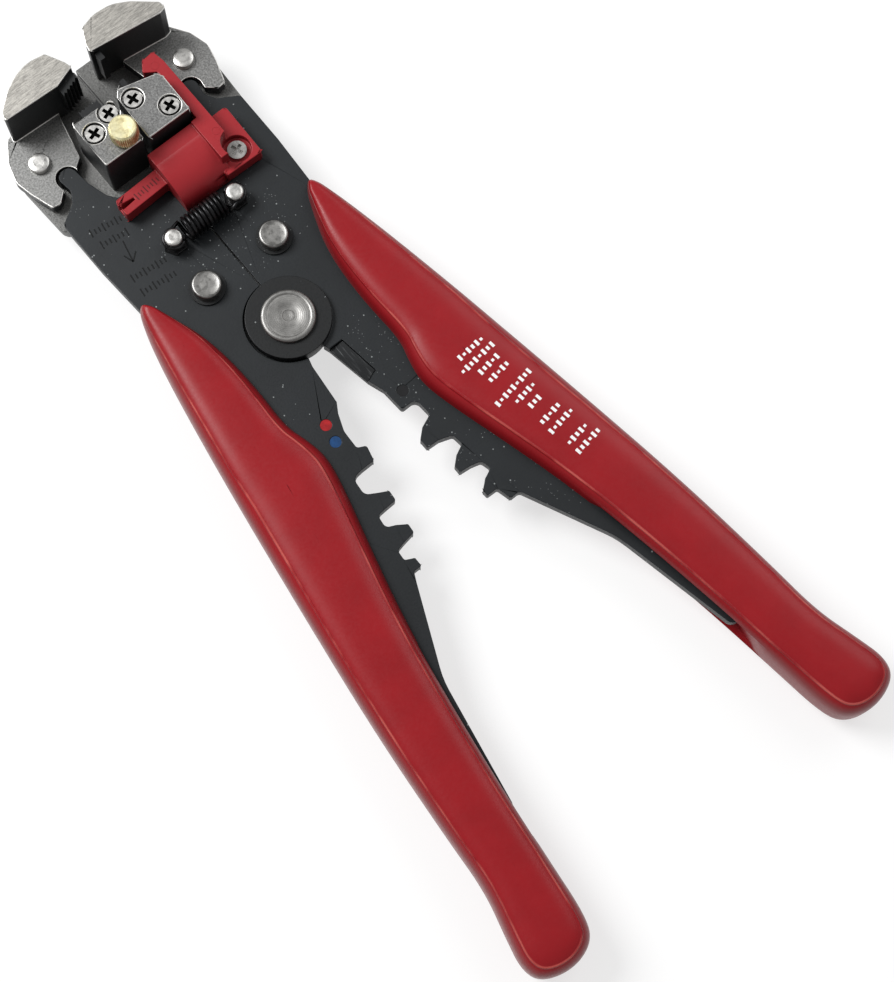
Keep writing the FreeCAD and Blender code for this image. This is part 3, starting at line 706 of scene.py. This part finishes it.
def make_grip(side):
    """Moulded grip: the outline drawn in towards the spine ring by ring. The points after
    its lowest one are the inner side, where the channel runs."""
    outline = eased_outline(GRIP_OUTLINE)
    inner_from = outline.index(min(outline, key=lambda point: point[1]))
    rings = grip_rings()
    vertices = []
    for inward, height in rings:
        for index, (x, y) in enumerate(outline):
            spine_x, spine_y = spine_point(y)
            share = inward
            reach = math.hypot(spine_x - x, spine_y - y)
            if (index > inner_from and CHANNEL_Y[0] < y < CHANNEL_Y[1]
                    and CHANNEL_Z[0] <= height <= CHANNEL_Z[1]):
                ends = min(y - CHANNEL_Y[0], CHANNEL_Y[1] - y)
                deep = CHANNEL_DEEP * min(1.0, ends / CHANNEL_RUN_OUT)
                share = max(share, deep / reach)
            vertices.append((side * (x + (spine_x - x) * share),
                             y + (spine_y - y) * share, height))
    half = HALF[side]
    piece(half + "_grip_moulding", vertices, ring_faces(len(rings), len(outline)), "grip",
          half + "_lever", "red_grip", (half + "_grip",))


def grip_height(x, y):
    """Top of the right grip over a point, millimetres."""
    spine_x, spine_y = spine_point(y)
    edge_x = None
    for (x0, y0), (x1, y1) in zip(GRIP_OUTLINE, GRIP_OUTLINE[1:] + GRIP_OUTLINE[:1]):
        if min(y0, y1) <= y < max(y0, y1):
            crossing = x0 + (x1 - x0) * (y - y0) / (y1 - y0)
            if (crossing > spine_x) == (x > spine_x):
                edge_x = crossing
    share = abs(edge_x - x) / abs(edge_x - spine_x)
    return GRIP_MIDDLE + crown(min(share, 1.0))


for side in HALF:
    make_grip(side)

# White pad-printed table on the right grip: rows of plain blocks in place of its lettering.
PRINT_ROWS = [
    (19.9, -29.2, 27.0, -28.7), (18.6, -31.8, 28.6, -30.8), (21.2, -34.1, 27.7, -33.3),
    (21.7, -36.6, 27.6, -35.8), (19.6, -41.3, 30.8, -39.6), (22.9, -43.3, 29.1, -42.4),
    (24.4, -45.7, 28.5, -45.1), (24.0, -49.7, 30.6, -48.7), (24.1, -52.3, 31.7, -51.2),
    (25.4, -56.3, 32.2, -55.3), (25.6, -58.8, 33.0, -57.7),
]
PRINT_STEP = 1.16
PRINT_LONG = 0.62
PRINT_TALL = 1.30
PRINT_SHARES = (1.0, 0.45, 1.0, 0.7)
PRINT_LIFT = 0.025


def print_block(x, y, along, across, tall):
    """One small flat block laid on the grip, two by two cells."""
    vertices = []
    for row in range(3):
        for column in range(3):
            u = (column / 2 - 0.5) * PRINT_LONG
            v = (row / 2 - 0.5) * tall
            at_x = x + along[0] * u + across[0] * v
            at_y = y + along[1] * u + across[1] * v
            vertices.append((at_x, at_y, grip_height(at_x, at_y) + PRINT_LIFT))
    faces = [(row * 3 + column, row * 3 + column + 1, row * 3 + column + 4,
              row * 3 + column + 3) for row in range(2) for column in range(2)]
    return vertices, faces


blocks = []
for number, row in enumerate(PRINT_ROWS):
    long, along, across = run(*row)
    for index in range(int(long / PRINT_STEP)):
        reach = (index + 0.5) * PRINT_STEP
        tall = PRINT_TALL * PRINT_SHARES[(index + number) % len(PRINT_SHARES)]
        blocks.append(print_block(row[0] + along[0] * reach, row[1] + along[1] * reach,
                                  along, across, tall))
piece("grip_print_blocks", *joined(blocks), "print", "right_lever", "red_grip",
      smooth=False)

# ------------------------------------------------------------------ return spring
PIN_X = centre("right_spring_pin").x
PIN_Y = centre("right_spring_pin").y
SPRING_Z = centre("return_spring").z
WIRE = 0.42
COIL_RADIUS = high("return_spring").y - PIN_Y - WIRE
COIL_HALF = 5.0
TURNS = 10.5
STEPS_PER_TURN = 24
HOOK_RADIUS = 2.1
HOOK_POINTS = 15
HOOK_START = 115        # degrees
HOOK_STEP = 18          # degrees
HOOK_FALL = 0.02


def spring_path():
    """From one pin's hook through the coil to the other pin's hook."""
    coil = []
    steps = int(TURNS * STEPS_PER_TURN)
    for step in range(steps + 1):
        share = step / steps
        angle = math.pi / 2 + 2 * math.pi * TURNS * share
        coil.append((-COIL_HALF + 2 * COIL_HALF * share,
                     PIN_Y + COIL_RADIUS * math.sin(angle),
                     SPRING_Z + COIL_RADIUS * math.cos(angle)))
    hook = []
    for step in range(HOOK_POINTS):
        angle = math.radians(HOOK_START - HOOK_STEP * step)
        hook.append((PIN_X + HOOK_RADIUS * math.cos(angle),
                     PIN_Y + HOOK_RADIUS * math.sin(angle), SPRING_Z - HOOK_FALL * step))
    left_hook = [(-x, y, z) for x, y, z in hook]
    right_hook = [(x, 2 * PIN_Y - y, z) for x, y, z in hook]
    return left_hook[::-1] + coil + right_hook


spring = piece("return_spring_coil", *tube(spring_path(), WIRE), "spring", None,
               "spring_black", ("return_spring",))
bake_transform(spring)

# ------------------------------------------------------------------ small marks
MARK_LIFT = 0.02
ARROW = [(-15.6, 34.3, -16.7, 29.4), (-17.4, 31.6, -16.7, 29.4), (-14.9, 30.9, -16.7, 29.4)]
MARK_ROWS = [(-19.6, 39.6, -13.0, 38.5), (-19.4, 36.2, -13.2, 35.3),
             (-19.0, 26.6, -11.4, 25.7), (-19.3, 23.0, -11.6, 22.1)]
MARK_TALL = 1.9
MARK_STEP = 0.95
STROKE = 0.32


def stroke(x0, y0, x1, y1, height, wide=STROKE):
    """Flat line of a given width."""
    across = run(x0, y0, x1, y1)[2]
    side_x = across[0] * wide / 2
    side_y = across[1] * wide / 2
    vertices = [(x0 + side_x, y0 + side_y, height), (x0 - side_x, y0 - side_y, height),
                (x1 - side_x, y1 - side_y, height), (x1 + side_x, y1 + side_y, height)]
    return vertices, [(0, 1, 2, 3)]


def tick_row(x0, y0, x1, y1, height, tall, step, wide):
    """Ticks of two lengths across a line."""
    long, along, across = run(x0, y0, x1, y1)
    ticks = []
    for index in range(int(long / step) + 1):
        x = x0 + along[0] * step * index
        y = y0 + along[1] * step * index
        reach = tall / 2 * (1.0 if index % 3 == 0 else 0.6)
        ticks.append(stroke(x - across[0] * reach, y - across[1] * reach,
                            x + across[0] * reach, y + across[1] * reach, height, wide))
    return ticks


marks = [stroke(*line, PLATE_TOP + MARK_LIFT) for line in ARROW]
for row in MARK_ROWS:
    marks += tick_row(*row, PLATE_TOP + MARK_LIFT, MARK_TALL, MARK_STEP, STROKE)
piece("left_plate_marks", *joined(marks), "mark", "left_lever", "black_enamel",
      smooth=False)

BAR_TALL = 3.6
BAR_TOP = low("wire_stop").z + BAR_TALL
BAR_LINE = (-8.2, 38.6, -2.6, 39.0)
bar_ticks = tick_row(*BAR_LINE, BAR_TOP + MARK_LIFT, 1.7, 0.8, 0.26)
piece("stop_scale_ticks", *joined(bar_ticks), "stop_dark", "stop_slider", "red_plastic",
      smooth=False)

# Round moulding marks on the stop's arm, each shown by its rim.
ARM_TOP = high("wire_stop").z
EJECTOR_MARKS = {"stop_ejector_mark_1": (11.6, 57.6), "stop_ejector_mark_2": (12.4, 38.4)}
EJECTOR_RIM = [(0.78, -0.02), (0.80, 0.03), (0.90, 0.03), (0.92, -0.02)]
for name, place in EJECTOR_MARKS.items():
    lathe(name, Vector(place), [(radius, ARM_TOP + height) for radius, height in EJECTOR_RIM],
          "stop", "stop_slider", "red_plastic", count=32)

# Ground face of the cutter: slopes from the plate's top down to the cutting edge.
CUTTER_LOW = low("right_lever_plate").z + 1.55
CUTTER_HIGH = PLATE_TOP - 0.25
CUTTER = [(2.45, -10.35, CUTTER_LOW), (5.45, -10.45, CUTTER_HIGH),
          (6.6, -19.25, CUTTER_HIGH), (4.15, -20.05, CUTTER_LOW)]
piece("cutter_ground_face", CUTTER, [(0, 1, 2, 3)], "cutter", "right_lever", "black_oxide",
      smooth=False)

# ------------------------------------------------------------------ turned parts
def hung(top, profile):
    """Profile points whose heights are given down from the top."""
    return [(radius, top - drop, *knurled) for radius, drop, *knurled in profile]


KNOB_HEAD_BOTTOM = low("right_block").z + 13.25
KNOB_TOP = high("tension_knob").z
KNOB_RADIUS = (high("tension_knob").x - low("tension_knob").x) / 2
lathe("tension_knob_head", centre("tension_knob"),
      [(0.0, KNOB_HEAD_BOTTOM), (2.55, KNOB_HEAD_BOTTOM),
       (KNOB_RADIUS, KNOB_HEAD_BOTTOM + 0.3, 1)]
      + hung(KNOB_TOP, [(KNOB_RADIUS, 0.55, 1), (KNOB_RADIUS - 0.28, 0.2),
                        (KNOB_RADIUS - 0.55, 0.02), (1.1, 0.06), (0.0, 0.12)]),
      "brass", "knob", "brass", ("tension_knob",), count=84, teeth=0.22)

ARM_RIVET_FOOT = 3.8
ARM_RIVET_SHANK = 2.2
ARM_RIVET_FOOT_TOP = 4.4
ARM_RIVET_HEAD = [(ARM_RIVET_SHANK, 2.4), (3.1, 2.4), (3.06, 0.5), (2.98, 0.2), (2.8, 0.04),
                  (2.6, 0.0), (2.45, 0.07), (1.2, 0.03), (0.0, 0.02)]
JAW_PIN_FOOT = 3.2
JAW_PIN_SHANK = 1.9
JAW_PIN_FOOT_TOP = 4.6
JAW_PIN_HEAD = [(JAW_PIN_SHANK, 1.1), (2.25, 1.1), (2.25, 0.4), (2.12, 0.14), (1.85, 0.0),
                (1.0, 0.0), (0.0, 0.0)]
POST_SHANK = 1.2
POST_NECK = 1.55
POST_HEAD = [(POST_NECK, 1.15), (1.85, 1.0), (1.85, 0.35), (1.72, 0.12), (1.5, 0.0),
             (0.8, 0.02), (0.0, 0.03)]
PLATE_THICK = 2.6
HEXAGON_RADIUS = 2.6
HEXAGON_TALL = 0.8
HEXAGON_CHAMFER = 0.15


def arm_rivet(half):
    node = half + "_arm_rivet"
    foot = low(node).z
    lathe(node + "_turned", centre(node),
          [(0.0, foot), (ARM_RIVET_FOOT - 0.3, foot), (ARM_RIVET_FOOT, foot + 0.3),
           (ARM_RIVET_FOOT, ARM_RIVET_FOOT_TOP), (ARM_RIVET_SHANK, ARM_RIVET_FOOT_TOP)]
          + hung(high(node).z, ARM_RIVET_HEAD),
          "rivet", half + "_lever", "rivet_steel", (node,))


def jaw_pin(half):
    node = half + "_jaw_pin"
    lathe(node + "_turned", centre(node),
          [(0.0, 0.0), (JAW_PIN_FOOT - 0.2, 0.0), (JAW_PIN_FOOT, 0.2),
           (JAW_PIN_FOOT, JAW_PIN_FOOT_TOP), (JAW_PIN_SHANK, JAW_PIN_FOOT_TOP)]
          + hung(high(node).z, JAW_PIN_HEAD),
          "pin", half + "_carrier", "turned_steel", (node,), count=56)


def spring_pin(half):
    """Turned post on a hexagonal foot."""
    node = half + "_spring_pin"
    foot = PLATE_TOP - PLATE_THICK
    lathe(node + "_post", centre(node),
          [(0.0, foot), (POST_SHANK, foot), (POST_SHANK, PLATE_TOP + HEXAGON_TALL - 0.05),
           (POST_NECK, PLATE_TOP + HEXAGON_TALL)] + hung(high(node).z, POST_HEAD),
          "pin", half + "_lever", "turned_steel", (node,), count=56)
    piece(node + "_hexagon",
          *hexagon(centre(node), HEXAGON_RADIUS, PLATE_TOP, PLATE_TOP + HEXAGON_TALL,
                   HEXAGON_CHAMFER),
          "spring", half + "_lever", "spring_black", smooth=False)


for half in HALF.values():
    arm_rivet(half)
    jaw_pin(half)
    spring_pin(half)

PIVOT_TOP = high("pivot_rivet").z
PIVOT_REACH = high("pivot_rivet").x
PIVOT_HEAD_TALL = 1.0
PIVOT_FOOT = 4.6
PIVOT_FOOT_TOP = 6.6
PIVOT_SHANK = 3.0
lathe("pivot_rivet_turned", Vector((0.0, 0.0)),
      [(0.0, 0.0), (PIVOT_FOOT - 0.3, 0.0), (PIVOT_FOOT, 0.3), (PIVOT_FOOT, PIVOT_FOOT_TOP),
       (PIVOT_SHANK, PIVOT_FOOT_TOP)]
      + hung(PIVOT_TOP, [
          (PIVOT_SHANK, PIVOT_HEAD_TALL), (PIVOT_REACH, PIVOT_HEAD_TALL), (PIVOT_REACH, 0.42),
          (PIVOT_REACH - 0.12, 0.2), (PIVOT_REACH - 0.34, 0.06), (PIVOT_REACH - 0.6, 0.0),
          (PIVOT_REACH - 0.95, 0.02), (PIVOT_REACH - 1.15, 0.16), (2.4, 0.12), (2.3, 0.17),
          (1.2, 0.15), (1.1, 0.24), (0.35, 0.3), (0.0, 0.34)]),
      "turned", "left_lever", "turned_steel", ("pivot_rivet",), count=96)

# ------------------------------------------------------------------ stage
FLOOR_REACH = 3.0
floor_mesh = bpy.data.meshes.new("floor")
floor_mesh.from_pydata([(x * FLOOR_REACH, y * FLOOR_REACH, 0)
                        for x, y in ((-1, -1), (1, -1), (1, 1), (-1, 1))],
                       [], [(0, 1, 2, 3)])
floor = bpy.data.objects.new("floor", floor_mesh)
bpy.context.scene.collection.objects.link(floor)
floor.data.materials.append(pale_floor())


def area_light(name, place, target, size, power):
    """Round soft light, in metres and watts."""
    light = bpy.data.lights.new(name, "AREA")
    light.shape = "DISK"
    light.size = size
    light.energy = power
    obj = bpy.data.objects.new(name, light)
    obj.location = place
    obj.rotation_euler = (Vector(target) - Vector(place)).to_track_quat("-Z", "Y").to_euler()
    bpy.context.scene.collection.objects.link(obj)


area_light("key_light", (-0.28, 0.48, 0.62), (0, -0.02, 0), size=0.45, power=6.6)
area_light("fill_light", (0.60, 0.05, 0.60), (0, -0.03, 0), size=0.60, power=1.6)

world = bpy.data.worlds.new("studio")
world.use_nodes = True
background = world.node_tree.nodes["Background"]
background.inputs["Color"].default_value = (1.0, 1.0, 1.0, 1)
background.inputs["Strength"].default_value = 0.32
bpy.context.scene.world = world
bpy.context.scene.view_settings.view_transform = "Standard"

camera_data = bpy.data.cameras.new("camera")
camera_data.sensor_fit = "HORIZONTAL"
camera_data.sensor_width = 36.0
camera_data.lens = 80.99
camera = bpy.data.objects.new("camera", camera_data)
bpy.context.scene.collection.objects.link(camera)
bpy.context.scene.camera = camera
CAMERA_TARGET = Vector((2.3, -47.24, 7.0)) * MM
CAMERA_DISTANCE = 400.02 * MM
CAMERA_AZIMUTH = math.radians(-135.34)
CAMERA_ELEVATION = math.radians(75.39)
CAMERA_ROLL = math.radians(-40.51)


def aim_camera():
    """Looks at the target from the given side; the roll turns the picture's up from +Y."""
    back = Vector((math.cos(CAMERA_ELEVATION) * math.cos(CAMERA_AZIMUTH),
                   math.cos(CAMERA_ELEVATION) * math.sin(CAMERA_AZIMUTH),
                   math.sin(CAMERA_ELEVATION)))
    up = Vector((0, 1, 0))
    up = (up - back * up.dot(back)).normalized()
    up = Matrix.Rotation(CAMERA_ROLL, 3, back) @ up
    right = up.cross(back)
    turned = Matrix((right, up, back)).transposed().to_4x4()
    camera.matrix_world = Matrix.Translation(CAMERA_TARGET + back * CAMERA_DISTANCE) @ turned


aim_camera()
